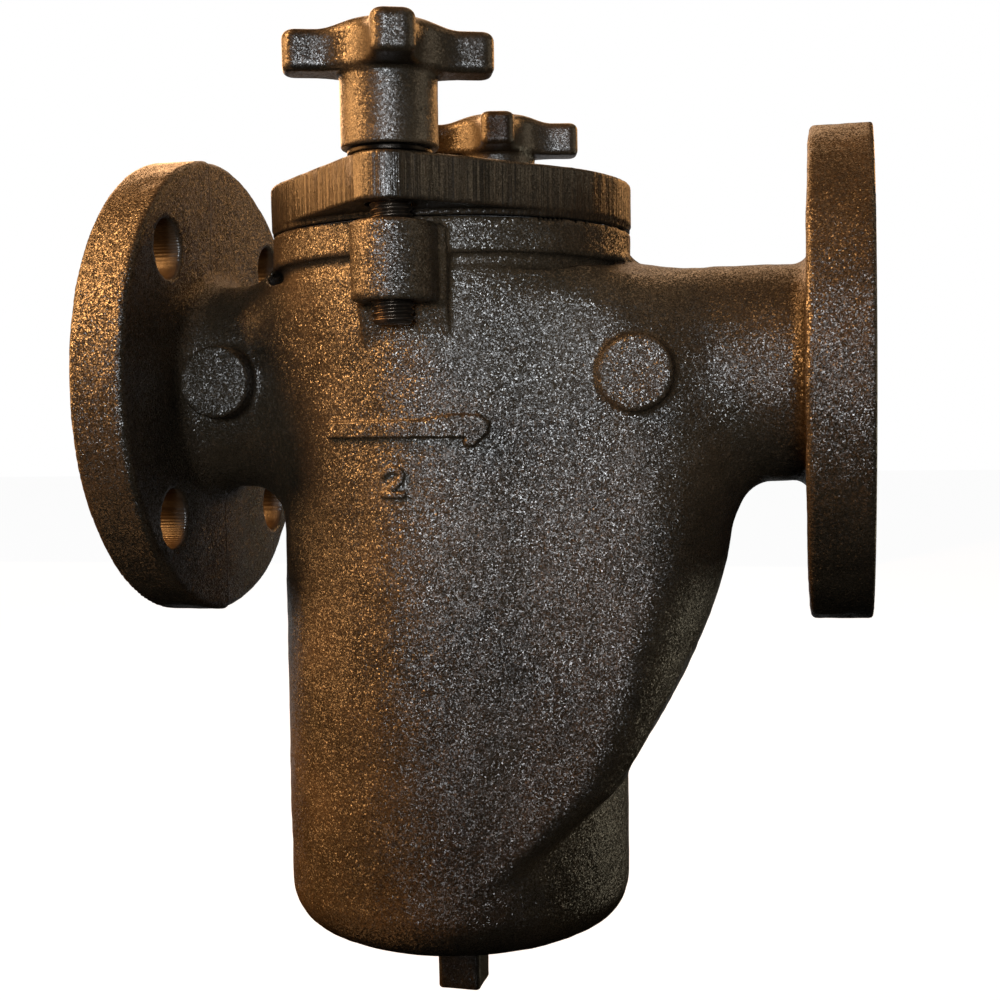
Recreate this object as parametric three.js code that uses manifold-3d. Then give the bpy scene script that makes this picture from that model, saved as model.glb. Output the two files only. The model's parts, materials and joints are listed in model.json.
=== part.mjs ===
// Flanged basket strainer for a 2-inch line: cast pot body with a lift-out basket,
// a clamped cover held by two hand knobs, and a square-headed drain plug.
// Millimetres. Origin where the pipe axis crosses the pot's axis.
// +X is the direction of flow, +Z is up, +Y completes the right-handed frame.

import * as THREE from 'three';
import { mergeVertices } from 'three/addons/utils/BufferGeometryUtils.js';
import Module from 'manifold-3d';

const wasm = await Module();
wasm.setup();

// ---------------------------------------------------------------- driving dimensions

const SEGMENTS = 48;

// Pipe line: 2-inch class 125 flanges
const INLET_FACE_X = -98.9;
const OUTLET_FACE_X = 134.6;
const PORT_R = 25.4;
const NECK_R = 34;
const NECK_FILLET = 6;
const FLANGE_R = 76.2;
const FLANGE_T = 17.5;
const FLANGE_EDGE = 2;
const BOLT_CIRCLE_R = 60.325;
const BOLT_HOLE_R = 9.525;

// Pot
const POT_R = 56.6;
const CHAMBER_R = 48;
const POT_BOTTOM_Z = -177;
const POT_CORNER_R = 15;
const CHAMBER_FLOOR_Z = -166;
const RIM_R = 58.6;
const RIM_BOTTOM_Z = 36.5;
const RIM_TOP_Z = 45.5;

// Outlet belly: side view as [z, furthest x], top to bottom
const BELLY_PROFILE = [
  [33, 42], [29.5, 54], [22.5, 66], [13.5, 76], [2.5, 84], [-12, 91], [-25, 93.5], [-42, 93.5], [-60, 89.5],
  [-80, 81], [-96, 74], [-113, 65], [-126, 57], [-138, 42.5], [-148, 31.5], [-159, 18], [-168, 4],
];
const BELLY_HALF_WIDTH = 55;
const BELLY_END_R = 46;
const BELLY_END_X = 48;
const BELLY_ROUNDING = 13;
const BELLY_WALL = 8;

// Slanted seat inside the pot: height = SEAT_SLOPE * x + SEAT_Z
const SEAT_SLOPE = 2 / 3;
const SEAT_Z = 2;
const SEAT_T = 7.2;
const SEAT_HOLE_R = 40;

// Lugs, pads, drain boss, raised flow arrow
const STUD_Y = 68.6;
const LUG_R = 12;
const LUG_BOTTOM_Z = 21.4;
const LUG_TOP_Z = 43.3;
const LUG_HOLE_R = 6.5;
const PAD_R = 11.3;
const PADS = [{ x: -67, faceY: -43.5 }, { x: 66.4, faceY: -46.5 }];
const PAD_Z = 0.5;
const BOSS_R = 15;
const BOSS_BOTTOM_Z = -186;
const DRAIN_HOLE_R = 10.5;
const ARROW_FACE_Y = -57.2;

// Flow arrow as [x, z]: a bar ending in a half head that points along the flow
const ARROW_OUTLINE = [
  [-23.5, -19.2], [17.6, -19.2], [16.6, -21.8], [19, -22.8], [24, -18.8], [24.4, -16.2], [22, -14.4],
  [16, -14.4], [8, -15.5], [-23.5, -15.6],
];

// Gasket and cover
const GASKET_INNER_R = 49;
const GASKET_OUTER_R = 58;
const GASKET_BOTTOM_Z = 45.7;
const GASKET_TOP_Z = 47.1;
const COVER_BOTTOM_Z = 47.3;
const COVER_TOP_Z = 62.5;
const COVER_R = 58.9;
const COVER_NOSE_R = 10;
const COVER_NOSE_Y = 72;
const COVER_EDGE = 0.8;
const EAR_BOTTOM_Z = 49;
const COVER_HOLE_R = 7.2;
const SPIGOT_R = 47.2;
const SPIGOT_BOTTOM_Z = 44.4;

// Clamp screws
const STUD_R = 6.2;
const STUD_BOTTOM_Z = 15;
const STUD_TOP_Z = 80;
const WASHER_R = 14.6;
const WASHER_HOLE_R = 6.9;
const WASHER_BOTTOM_Z = 62.7;
const WASHER_TOP_Z = 64.2;
const HUB_R = 14;
const HUB_BOTTOM_Z = 64.4;
const LOBE_BOTTOM_Z = 85.3;
const LOBE_TOP_Z = 97.1;
const LOBE_TIP_R = 30;
const LOBE_HALF_WIDTH = 6.2;
const LOBE_TIP_ROUNDING = 4;
const LOBE_EDGE = 1.8;
const SCALLOP_CENTRE = 21;
const DOME_R = 10;
const DOME_HEIGHT = 3;
const KNOB_BORE_R = 6.5;
const FRONT_KNOB_DEG = 19.7;
const REAR_KNOB_DEG = 13.3;

// Basket
const SCREEN_R = 38;
const SCREEN_T = 1.2;
const BASKET_BOTTOM_Z = -158;
const SCREEN_HOLE_R = 3;
const SCREEN_COLUMNS = 10;
const SCREEN_ROWS = 6;
const SCREEN_FIRST_ROW_Z = -138;
const SCREEN_ROW_PITCH = 18;
const LINER_OUTER_R = 36.5;
const LINER_INNER_R = 35.9;
const BASKET_RIM_INNER_R = 38.3;
const BASKET_RIM_OUTER_R = 47;
const BASKET_RIM_T = 3.8;
const SEAT_GAP = 0.2;
const BAND_INNER_R = 38.2;
const BAND_OUTER_R = 39.4;
const BAND_HEIGHT = 9;

// Bail
const BAIL_PIVOT_Z = 12;
const BAIL_WIRE_R = 2;
const BAIL_HALF_SPAN = 31.8;
const BAIL_DROP = 28;
const EYE_R = 4.6;
const EYE_HOLE_R = 2.6;
const EYE_INNER_Y = 30.2;
const EYE_OUTER_Y = 33.4;
const EAR_INNER_Y = 33.8;
const EAR_OUTER_Y = 35.2;
const BAIL_EAR_HALF_WIDTH = 5;
const BAIL_EAR_BOTTOM_Z = -16;
const RIVET_R = 2.3;
const RIVET_INNER_Y = 28.0;
const RIVET_OUTER_Y = 36.7;
const RIVET_HEAD_T = 1.2;
const RIVET_HEAD_R = 3.6;

// Drain plug, 1/2-inch pipe size
const PLUG_R = 10.2;
const PLUG_TOP_Z = -171;
const PLUG_SHOULDER_Z = -188;
const PLUG_BOTTOM_Z = -203;
const PLUG_HEAD_HALF = 7.2;
const PLUG_HEAD_EDGE = 0.9;

// ---------------------------------------------------------------- solids

function signedVolume(positions, triangles) {
  let sum = 0;
  const a = new THREE.Vector3();
  const b = new THREE.Vector3();
  const c = new THREE.Vector3();
  for (let i = 0; i < triangles.length; i += 3) {
    a.fromArray(positions, 3 * triangles[i]);
    b.fromArray(positions, 3 * triangles[i + 1]);
    c.fromArray(positions, 3 * triangles[i + 2]);
    sum += a.dot(b.cross(c));
  }
  return sum / 6;
}

// Turns a closed three.js geometry into a solid, welded and facing outwards.
function solid(geometry) {
  const bare = new THREE.BufferGeometry();
  bare.setAttribute('position', geometry.getAttribute('position').clone());
  bare.setIndex(geometry.index);
  const welded = mergeVertices(bare, 1e-4);
  const positions = new Float32Array(welded.getAttribute('position').array);
  const kept = [];
  const index = welded.index.array;
  for (let i = 0; i < index.length; i += 3) {
    const [a, b, c] = [index[i], index[i + 1], index[i + 2]];
    if (a !== b && b !== c && c !== a) {
      kept.push(a, b, c);
    }
  }
  if (signedVolume(positions, kept) < 0) {
    kept.reverse();
  }
  const mesh = new wasm.Mesh({ numProp: 3, vertProperties: positions, triVerts: new Uint32Array(kept) });
  return new wasm.Manifold(mesh);
}

function union(solids) {
  return solids.reduce((sum, next) => sum.add(next));
}

// Revolves a closed outline of [radius, height] pairs; height runs along the named axis.
function revolve(outline, axis = 'z', segments = SEGMENTS) {
  const points = outline.map(([r, h]) => new THREE.Vector2(r, h));
  points.push(points[0].clone());
  const geometry = new THREE.LatheGeometry(points, segments);
  if (axis === 'z') {
    geometry.rotateX(Math.PI / 2);
  }
  if (axis === 'x') {
    geometry.rotateZ(-Math.PI / 2);
  }
  return solid(geometry);
}

function rod(radius, from, to, axis = 'z', segments = SEGMENTS) {
  return revolve([[0, from], [radius, from], [radius, to], [0, to]], axis, segments);
}

function tube(inner, outer, from, to, segments = SEGMENTS) {
  return revolve([[inner, from], [outer, from], [outer, to], [inner, to]], 'z', segments);
}

function arc(cx, cy, radius, fromDeg, toDeg, steps) {
  const points = [];
  for (let i = 0; i <= steps; i += 1) {
    const angle = THREE.MathUtils.degToRad(fromDeg + (toDeg - fromDeg) * i / steps);
    points.push([cx + radius * Math.cos(angle), cy + radius * Math.sin(angle)]);
  }
  return points;
}

function shapeOf(points) {
  return new THREE.Shape(points.map(([x, y]) => new THREE.Vector2(x, y)));
}

// Plate with the given outline in X and Y, its edges rounded by `edge`.
function plate(points, bottom, top, edge = 0) {
  const geometry = new THREE.ExtrudeGeometry(shapeOf(points), {
    depth: top - bottom - 2 * edge,
    bevelEnabled: edge > 0,
    bevelThickness: edge,
    bevelSize: edge,
    bevelOffset: -edge,
    bevelSegments: 2,
    curveSegments: 1,
  });
  geometry.translate(0, 0, bottom + edge);
  return solid(geometry);
}

// Slab with the given outline in X and Z, centred on y = 0.
function slab(points, halfDepth) {
  const geometry = new THREE.ExtrudeGeometry(shapeOf(points), { depth: 2 * halfDepth, bevelEnabled: false });
  geometry.rotateX(Math.PI / 2);
  geometry.translate(0, halfDepth, 0);
  return solid(geometry);
}

// Slab between two planes parallel to the slanted seat, `low` and `high` above it.
function seatSlab(low, high, reach = 70) {
  const height = (x, lift) => SEAT_SLOPE * x + SEAT_Z + lift;
  return slab([
    [-reach, height(-reach, low)],
    [reach, height(reach, low)],
    [reach, height(reach, high)],
    [-reach, height(-reach, high)],
  ], reach);
}

// ---------------------------------------------------------------- body

// Outlet belly: its side view, with rounded edges, cut to a plan that narrows towards the outlet.
function belly(wall, zTop, zBottom) {
  const halfWidth = BELLY_HALF_WIDTH - wall;
  const endR = BELLY_END_R - wall;
  const lean = THREE.MathUtils.radToDeg(Math.asin((halfWidth - endR) / BELLY_END_X));
  const plan = [
    ...arc(BELLY_END_X, 0, endR, lean - 90, 90 - lean, 16),
    ...arc(0, 0, halfWidth, 90 - lean, 270 + lean, 20),
  ];
  const side = [[-20, zTop], [-20, zBottom]];
  const skin = BELLY_PROFILE.filter(([z]) => z <= zTop && z >= zBottom);
  side.push(...skin.reverse().map(([z, x]) => [x - wall, z]));
  const geometry = new THREE.ExtrudeGeometry(shapeOf(side), {
    depth: 2 * (halfWidth - BELLY_ROUNDING),
    bevelEnabled: true,
    bevelThickness: BELLY_ROUNDING,
    bevelSize: BELLY_ROUNDING,
    bevelOffset: -BELLY_ROUNDING,
    bevelSegments: 4,
  });
  geometry.rotateX(Math.PI / 2);
  geometry.translate(0, halfWidth - BELLY_ROUNDING, 0);
  return solid(geometry).intersect(plate(plan, zBottom - 1, zTop + 1));
}

// Neck and flange together, from the pot's axis out to the flange face at faceX.
function neckAndFlange(faceX) {
  const direction = Math.sign(faceX);
  const face = Math.abs(faceX);
  const back = face - FLANGE_T;
  const outline = [[0, 0], [NECK_R + 8, 0], [NECK_R + 8, 46], [NECK_R + 3, 54], [NECK_R, 64]];
  const fillet = arc(NECK_R + NECK_FILLET, back - NECK_FILLET, NECK_FILLET, 180, 90, 3);
  outline.push(...fillet);
  outline.push([FLANGE_R - FLANGE_EDGE, back]);
  outline.push([FLANGE_R, back + FLANGE_EDGE]);
  outline.push([FLANGE_R, face - 1]);
  outline.push([FLANGE_R - 1, face]);
  outline.push([0, face]);
  return revolve(outline.map(([r, h]) => [r, direction * h]), 'x');
}

function boltHoles(faceX) {
  const inside = faceX - Math.sign(faceX) * (FLANGE_T + 4);
  const outside = faceX + Math.sign(faceX) * 4;
  return [45, 135, 225, 315].map((deg) => {
    const angle = THREE.MathUtils.degToRad(deg);
    const hole = rod(BOLT_HOLE_R, Math.min(inside, outside), Math.max(inside, outside), 'x', 28);
    return hole.translate([0, BOLT_CIRCLE_R * Math.cos(angle), BOLT_CIRCLE_R * Math.sin(angle)]);
  });
}

function lug(side) {
  const nose = arc(0, STUD_Y, LUG_R, 0, 180, 14);
  const outline = [[LUG_R, 40], ...nose, [-LUG_R, 40]].map(([x, y]) => [x, side * y]);
  return plate(outline, LUG_BOTTOM_Z, LUG_TOP_Z, 1.5);
}

function flowArrow() {
  const raised = slab(ARROW_OUTLINE, 30).translate([0, -30, 0]);
  return raised.intersect(rod(-ARROW_FACE_Y, -30, -5));
}

function makeBody() {
  const corner = arc(POT_R - POT_CORNER_R, POT_BOTTOM_Z + POT_CORNER_R, POT_CORNER_R, -90, 0, 5);
  const pot = revolve([
    [0, BOSS_BOTTOM_Z],
    [BOSS_R - 1, BOSS_BOTTOM_Z],
    [BOSS_R, BOSS_BOTTOM_Z + 1],
    [BOSS_R + 2, POT_BOTTOM_Z - 1.5],
    ...corner,
    [POT_R, RIM_BOTTOM_Z - 1.5],
    [RIM_R, RIM_BOTTOM_Z],
    [RIM_R, RIM_TOP_Z],
    [0, RIM_TOP_Z],
  ]);
  const pads = PADS.map(({ x, faceY }) => rod(PAD_R, faceY, 0, 'y', 28).translate([x, 0, PAD_Z]));
  const bellyTop = BELLY_PROFILE[0][0];
  const outside = union([
    pot,
    belly(0, bellyTop, -168),
    neckAndFlange(INLET_FACE_X),
    neckAndFlange(OUTLET_FACE_X),
    lug(1),
    lug(-1),
    ...pads,
    flowArrow(),
  ]);
  const bellySpace = belly(BELLY_WALL, bellyTop - BELLY_WALL, -148).subtract(seatSlab(-SEAT_T / 2, 160, 120));
  const inside = union([
    rod(CHAMBER_R, CHAMBER_FLOOR_Z, RIM_TOP_Z + 5),
    bellySpace,
    rod(PORT_R, INLET_FACE_X - 2, -30, 'x'),
    rod(PORT_R, 60, OUTLET_FACE_X + 2, 'x'),
    rod(DRAIN_HOLE_R, BOSS_BOTTOM_Z - 2, CHAMBER_FLOOR_Z + 2, 'z', 32),
    ...boltHoles(INLET_FACE_X),
    ...boltHoles(OUTLET_FACE_X),
    rod(LUG_HOLE_R, LUG_BOTTOM_Z - 3, LUG_TOP_Z + 3, 'z', 28).translate([0, STUD_Y, 0]),
    rod(LUG_HOLE_R, LUG_BOTTOM_Z - 3, LUG_TOP_Z + 3, 'z', 28).translate([0, -STUD_Y, 0]),
  ]);
  const seat = seatSlab(-SEAT_T, 0)
    .intersect(rod(CHAMBER_R + 1.5, -60, 60))
    .subtract(rod(SEAT_HOLE_R, -70, 70));
  return outside.subtract(inside).add(seat);
}

// ---------------------------------------------------------------- cover and clamp screws

function coverOutline() {
  const spread = THREE.MathUtils.radToDeg(Math.acos((COVER_R - COVER_NOSE_R) / COVER_NOSE_Y));
  return [
    ...arc(0, 0, COVER_R, -90 + spread, 90 - spread, 12),
    ...arc(0, COVER_NOSE_Y, COVER_NOSE_R, 90 - spread, 90 + spread, 10),
    ...arc(0, 0, COVER_R, 90 + spread, 270 - spread, 12),
    ...arc(0, -COVER_NOSE_Y, COVER_NOSE_R, 270 - spread, 270 + spread, 10),
  ];
}

function makeCover() {
  const top = plate(coverOutline(), EAR_BOTTOM_Z, COVER_TOP_Z, COVER_EDGE);
  const foot = rod(COVER_R - 0.4, COVER_BOTTOM_Z, EAR_BOTTOM_Z + 2);
  const spigot = rod(SPIGOT_R, SPIGOT_BOTTOM_Z, COVER_BOTTOM_Z + 1);
  const hole = rod(COVER_HOLE_R, COVER_BOTTOM_Z - 2, COVER_TOP_Z + 2, 'z', 28);
  return union([top, foot, spigot])
    .subtract(hole.translate([0, STUD_Y, 0]))
    .subtract(hole.translate([0, -STUD_Y, 0]));
}

function knobOutline() {
  const outline = [];
  const tipX = LOBE_TIP_R - LOBE_TIP_ROUNDING;
  const tipY = LOBE_HALF_WIDTH - LOBE_TIP_ROUNDING;
  for (let i = 0; i < 4; i += 1) {
    const quarter = [
      ...arc(tipX, -tipY, LOBE_TIP_ROUNDING, -90, 0, 4),
      ...arc(tipX, tipY, LOBE_TIP_ROUNDING, 0, 90, 4),
      ...arc(SCALLOP_CENTRE, SCALLOP_CENTRE, SCALLOP_CENTRE - LOBE_HALF_WIDTH, 270, 180, 7),
    ];
    const angle = i * Math.PI / 2;
    quarter.forEach(([x, y]) => {
      outline.push([x * Math.cos(angle) - y * Math.sin(angle), x * Math.sin(angle) + y * Math.cos(angle)]);
    });
  }
  return outline;
}

function makeKnob(y, turnDeg) {
  const lobes = plate(knobOutline(), LOBE_BOTTOM_Z, LOBE_TOP_Z, LOBE_EDGE);
  const hub = revolve([
    [0, HUB_BOTTOM_Z],
    [HUB_R - 0.6, HUB_BOTTOM_Z],
    [HUB_R, HUB_BOTTOM_Z + 0.6],
    [HUB_R, LOBE_BOTTOM_Z - 2],
    [HUB_R + 1.5, LOBE_BOTTOM_Z + 2],
    [0, LOBE_BOTTOM_Z + 2],
  ], 'z', 40);
  const capR = (DOME_R * DOME_R + DOME_HEIGHT * DOME_HEIGHT) / (2 * DOME_HEIGHT);
  const halfAngle = THREE.MathUtils.radToDeg(Math.asin(DOME_R / capR));
  const cap = arc(0, LOBE_TOP_Z + DOME_HEIGHT - capR, capR, 90 - halfAngle, 90, 4);
  const dome = revolve([[0, LOBE_TOP_Z - 2], [DOME_R, LOBE_TOP_Z - 2], ...cap], 'z', 32);
  const bore = rod(KNOB_BORE_R, HUB_BOTTOM_Z - 1, STUD_TOP_Z + 1, 'z', 28);
  return union([lobes, hub, dome])
    .subtract(bore)
    .rotate([0, 0, turnDeg])
    .translate([0, y, 0]);
}

function makeStud(y) {
  const outline = [
    [0, STUD_BOTTOM_Z],
    [STUD_R - 1.2, STUD_BOTTOM_Z],
    [STUD_R, STUD_BOTTOM_Z + 1.2],
    [STUD_R, STUD_TOP_Z - 1],
    [STUD_R - 1, STUD_TOP_Z],
    [0, STUD_TOP_Z],
  ];
  return revolve(outline, 'z', 28).translate([0, y, 0]);
}

// ---------------------------------------------------------------- basket

function slantedTube(inner, outer, bottom, segments = SEGMENTS) {
  const full = tube(inner, outer, bottom, 60, segments);
  return full.subtract(seatSlab(SEAT_GAP + BASKET_RIM_T - 0.4, 160, 90));
}

function makeScreen() {
  const holes = [];
  const turn = 360 / SCREEN_COLUMNS;
  for (let row = 0; row < SCREEN_ROWS; row += 1) {
    const z = SCREEN_FIRST_ROW_Z + row * SCREEN_ROW_PITCH;
    for (let column = 0; column < SCREEN_COLUMNS; column += 1) {
      const hole = rod(SCREEN_HOLE_R, SCREEN_R - 6, SCREEN_R + 6, 'x', 6);
      holes.push(hole.rotate([0, 0, turn * (column + (row % 2) / 2)]).translate([0, 0, z]));
    }
  }
  return slantedTube(SCREEN_R - SCREEN_T, SCREEN_R, BASKET_BOTTOM_Z).subtract(union(holes));
}

function makeBasketRim() {
  return tube(BASKET_RIM_INNER_R, BASKET_RIM_OUTER_R, -60, 60)
    .intersect(seatSlab(SEAT_GAP, SEAT_GAP + BASKET_RIM_T));
}

function makeBailEar(side) {
  const head = arc(0, BAIL_PIVOT_Z, BAIL_EAR_HALF_WIDTH, 0, 180, 8);
  const outline = [[BAIL_EAR_HALF_WIDTH, BAIL_EAR_BOTTOM_Z], ...head, [-BAIL_EAR_HALF_WIDTH, BAIL_EAR_BOTTOM_Z]];
  const middle = side * (EAR_INNER_Y + EAR_OUTER_Y) / 2;
  const pin = rod(EYE_HOLE_R, -60, 60, 'y', 20).translate([0, 0, BAIL_PIVOT_Z]);
  return slab(outline, (EAR_OUTER_Y - EAR_INNER_Y) / 2).translate([0, middle, 0]).subtract(pin);
}

function makeBail() {
  class HalfLoop extends THREE.Curve {
    getPoint(t, target = new THREE.Vector3()) {
      const angle = Math.PI * t;
      return target.set(0, BAIL_HALF_SPAN * Math.cos(angle), BAIL_PIVOT_Z - BAIL_DROP * Math.sin(angle));
    }
  }
  const section = shapeOf(arc(0, 0, BAIL_WIRE_R, 0, 324, 9));
  const wire = solid(new THREE.ExtrudeGeometry(section, {
    steps: 20,
    bevelEnabled: false,
    extrudePath: new HalfLoop(),
  }));
  const eye = rod(EYE_R, EYE_INNER_Y, EYE_OUTER_Y, 'y', 24);
  const otherEye = rod(EYE_R, -EYE_OUTER_Y, -EYE_INNER_Y, 'y', 24);
  const keep = rod(60, -EYE_OUTER_Y, EYE_OUTER_Y, 'y', 24).translate([0, 0, BAIL_PIVOT_Z]);
  const pin = rod(EYE_HOLE_R, -60, 60, 'y', 20).translate([0, 0, BAIL_PIVOT_Z]);
  return union([
    wire.intersect(keep),
    eye.translate([0, 0, BAIL_PIVOT_Z]),
    otherEye.translate([0, 0, BAIL_PIVOT_Z]),
  ]).subtract(pin);
}

function makeRivet(side) {
  const outline = [
    [0, RIVET_INNER_Y],
    [RIVET_HEAD_R, RIVET_INNER_Y],
    [RIVET_HEAD_R, RIVET_INNER_Y + RIVET_HEAD_T],
    [RIVET_R, RIVET_INNER_Y + RIVET_HEAD_T],
    [RIVET_R, RIVET_OUTER_Y - RIVET_HEAD_T],
    [RIVET_HEAD_R, RIVET_OUTER_Y - RIVET_HEAD_T],
    [RIVET_HEAD_R, RIVET_OUTER_Y],
    [0, RIVET_OUTER_Y],
  ];
  return revolve(outline.map(([r, y]) => [r, side * y]), 'y', 20).translate([0, 0, BAIL_PIVOT_Z]);
}

// ---------------------------------------------------------------- drain plug

function makeDrainPlug() {
  const h = PLUG_HEAD_HALF;
  const head = plate([[-h, -h], [h, -h], [h, h], [-h, h]], PLUG_BOTTOM_Z, PLUG_SHOULDER_Z + 2, PLUG_HEAD_EDGE);
  const shank = revolve([
    [0, PLUG_SHOULDER_Z],
    [PLUG_R - 1, PLUG_SHOULDER_Z],
    [PLUG_R, PLUG_SHOULDER_Z + 1],
    [PLUG_R, PLUG_TOP_Z - 1],
    [PLUG_R - 1, PLUG_TOP_Z],
    [0, PLUG_TOP_Z],
  ], 'z', 32);
  return union([head, shank]);
}

// ---------------------------------------------------------------- assembly

const IRON = { color: 0x2a1f18, roughness: 0.5, metalness: 0.35 };
const STEEL = { color: 0x6d6660, roughness: 0.4, metalness: 0.9 };
const STAINLESS = { color: 0xb4b6b8, roughness: 0.3, metalness: 1.0 };
const GASKET = { color: 0x3a3c40, roughness: 0.9, metalness: 0.0 };

const nodes = {
  strainer_body: [makeBody(), IRON],
  cover: [makeCover(), IRON],
  cover_gasket: [tube(GASKET_INNER_R, GASKET_OUTER_R, GASKET_BOTTOM_Z, GASKET_TOP_Z), GASKET],
  knob_front: [makeKnob(-STUD_Y, FRONT_KNOB_DEG), IRON],
  knob_rear: [makeKnob(STUD_Y, REAR_KNOB_DEG), IRON],
  stud_front: [makeStud(-STUD_Y), STEEL],
  stud_rear: [makeStud(STUD_Y), STEEL],
  washer_front: [tube(WASHER_HOLE_R, WASHER_R, WASHER_BOTTOM_Z, WASHER_TOP_Z, 32).translate([0, -STUD_Y, 0]), STEEL],
  washer_rear: [tube(WASHER_HOLE_R, WASHER_R, WASHER_BOTTOM_Z, WASHER_TOP_Z, 32).translate([0, STUD_Y, 0]), STEEL],
  basket_screen: [makeScreen(), STAINLESS],
  basket_liner: [slantedTube(LINER_INNER_R, LINER_OUTER_R, BASKET_BOTTOM_Z + 2.2), STAINLESS],
  basket_rim: [makeBasketRim(), STAINLESS],
  basket_bottom: [rod(LINER_OUTER_R, BASKET_BOTTOM_Z + 0.4, BASKET_BOTTOM_Z + 1.9), STAINLESS],
  basket_bottom_band: [tube(BAND_INNER_R, BAND_OUTER_R, BASKET_BOTTOM_Z, BASKET_BOTTOM_Z + BAND_HEIGHT), STAINLESS],
  basket_bail: [makeBail(), STAINLESS],
  bail_ear_front: [makeBailEar(-1), STAINLESS],
  bail_ear_rear: [makeBailEar(1), STAINLESS],
  bail_rivet_front: [makeRivet(-1), STAINLESS],
  bail_rivet_rear: [makeRivet(1), STAINLESS],
  drain_plug: [makeDrainPlug(), IRON],
};

const strainer = new THREE.Group();
strainer.name = 'basket_strainer';
for (const [name, [shape, look]] of Object.entries(nodes)) {
  const { vertProperties, triVerts } = shape.getMesh();
  const geometry = new THREE.BufferGeometry();
  geometry.setAttribute('position', new THREE.BufferAttribute(new Float32Array(vertProperties), 3));
  geometry.setIndex(new THREE.BufferAttribute(new Uint32Array(triVerts), 1));
  geometry.computeVertexNormals();
  const mesh = new THREE.Mesh(geometry, new THREE.MeshStandardMaterial(look));
  mesh.name = name;
  strainer.add(mesh);
}

export default strainer;
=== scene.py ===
"""Looks of the flanged basket strainer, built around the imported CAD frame.

The castings are modelled as distance fields, with the fillets a foundry pattern has, and meshed
here; threads, sheet metal and wire are swept. Working lengths are millimetres until a mesh is made.
"""
import json
import math

import bmesh
import bpy
import numpy as np
from mathutils import Matrix, Vector

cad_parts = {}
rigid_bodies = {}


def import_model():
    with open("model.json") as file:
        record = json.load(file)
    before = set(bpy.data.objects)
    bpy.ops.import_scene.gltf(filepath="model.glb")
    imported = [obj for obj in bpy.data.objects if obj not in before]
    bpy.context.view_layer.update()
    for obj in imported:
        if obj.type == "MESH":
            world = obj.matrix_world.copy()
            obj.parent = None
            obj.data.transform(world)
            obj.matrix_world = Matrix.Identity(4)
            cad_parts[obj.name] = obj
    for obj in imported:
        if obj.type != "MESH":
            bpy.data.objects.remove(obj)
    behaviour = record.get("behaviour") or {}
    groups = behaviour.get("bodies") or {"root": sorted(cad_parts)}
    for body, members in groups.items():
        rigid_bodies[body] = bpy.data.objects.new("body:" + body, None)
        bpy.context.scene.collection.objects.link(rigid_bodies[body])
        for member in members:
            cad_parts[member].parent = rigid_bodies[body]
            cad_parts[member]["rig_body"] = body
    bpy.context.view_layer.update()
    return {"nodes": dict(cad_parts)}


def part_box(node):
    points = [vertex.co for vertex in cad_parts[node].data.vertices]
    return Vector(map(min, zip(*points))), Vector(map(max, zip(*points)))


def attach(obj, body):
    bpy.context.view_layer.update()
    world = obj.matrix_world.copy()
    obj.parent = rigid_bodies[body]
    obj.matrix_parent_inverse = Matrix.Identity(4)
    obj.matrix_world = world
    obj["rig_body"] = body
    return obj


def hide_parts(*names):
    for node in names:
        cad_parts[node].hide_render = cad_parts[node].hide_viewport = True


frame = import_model()
MM = 0.001
BODY_CELL, COVER_CELL, KNOB_CELL, BAIL_CELL, EAR_CELL, PLUG_CELL = (
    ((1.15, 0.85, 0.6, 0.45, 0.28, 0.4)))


def box_mm(node):
    """Lowest and highest corner of a CAD node, in millimetres."""
    low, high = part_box(node)
    return np.array(low) / MM, np.array(high) / MM


# ---------------- sizes taken from the frame

BODY_LOW, BODY_HIGH = box_mm("strainer_body")
COVER_LOW, COVER_HIGH = box_mm("cover")
INLET_X, OUTLET_X = BODY_LOW[0], BODY_HIGH[0]
STUD_Y = float(box_mm("stud_rear")[0][1] + box_mm("stud_rear")[1][1]) / 2
STUD_R = float(box_mm("stud_rear")[1][0])
FLANGE_R = BODY_HIGH[2]
COVER_BOTTOM = box_mm("cover_gasket")[1][2] + 0.2
COVER_TOP = COVER_HIGH[2]
PLUG_FOOT = box_mm("drain_plug")[0][2]
FLOOR_Z = PLUG_FOOT - 34

FLANGE_T = 17.5
NECK_R = 34.0
PORT_R = 25.4
BOLT_AT = 120.65 / 2 * math.sqrt(0.5)
BOLT_HOLE_R = 9.525
POT_R = 56.6
CHAMBER_R = 48.0
POT_BOTTOM = -178.0
CHAMBER_FLOOR = -166.0
RIM_R = 58.6
RIM_BOTTOM = 36.5
RIM_TOP = 45.5
SEAT_SLOPE = 2 / 3
SEAT_Z = 2.0
SEAT_T = 7.2
LUG_R = 12.0
LUG_BOTTOM = 21.4
LUG_TOP = 43.3
LUG_INNER_Y = 40
FOOT_HALF_WIDTH, FOOT_Y, FOOT_SLOPE, FOOT_SLOPE_LENGTH = 13.5, 60.4, 0.42, 1.08  # under a lug
SCREW_HOLE_R, SCREW_HOLE_Z = 6.5, (18, 47)
INLET_PORT_END, OUTLET_PORT_START = -30, 60
BOLT_HOLE_ENDS = (-78, 112)
SEAT_INNER_R, SEAT_OUTER_R = 40.0, 49.5
LABEL_HALF_WIDTH, LABEL_Y, LABEL_Z = 29, -44, (-41, -10)  # round the arrow and the numeral
LABEL_MARGIN = 2
BODY_UNEVEN, COVER_UNEVEN = 0.42, 0.12
PAD_R = 11.3
PADS = ((-67.0, -43.5), (66.4, -46.5))  # x of the middle, y of the face
SEAM_Y = -2.0  # the parting plane of the mould
SEAM_STEP = 7.1  # how much further forward it runs over the upper inlet side
SEAM_STEP_X = INLET_X + 25
BELLY_PLAN = (55.2, 44.0, 55.0)  # radius about the pot axis, radius of the nose, distance between
BELLY_SPACE_PLAN = (47.2, 38.0, 46.0)
BELLY_WALL = 8.0
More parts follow.
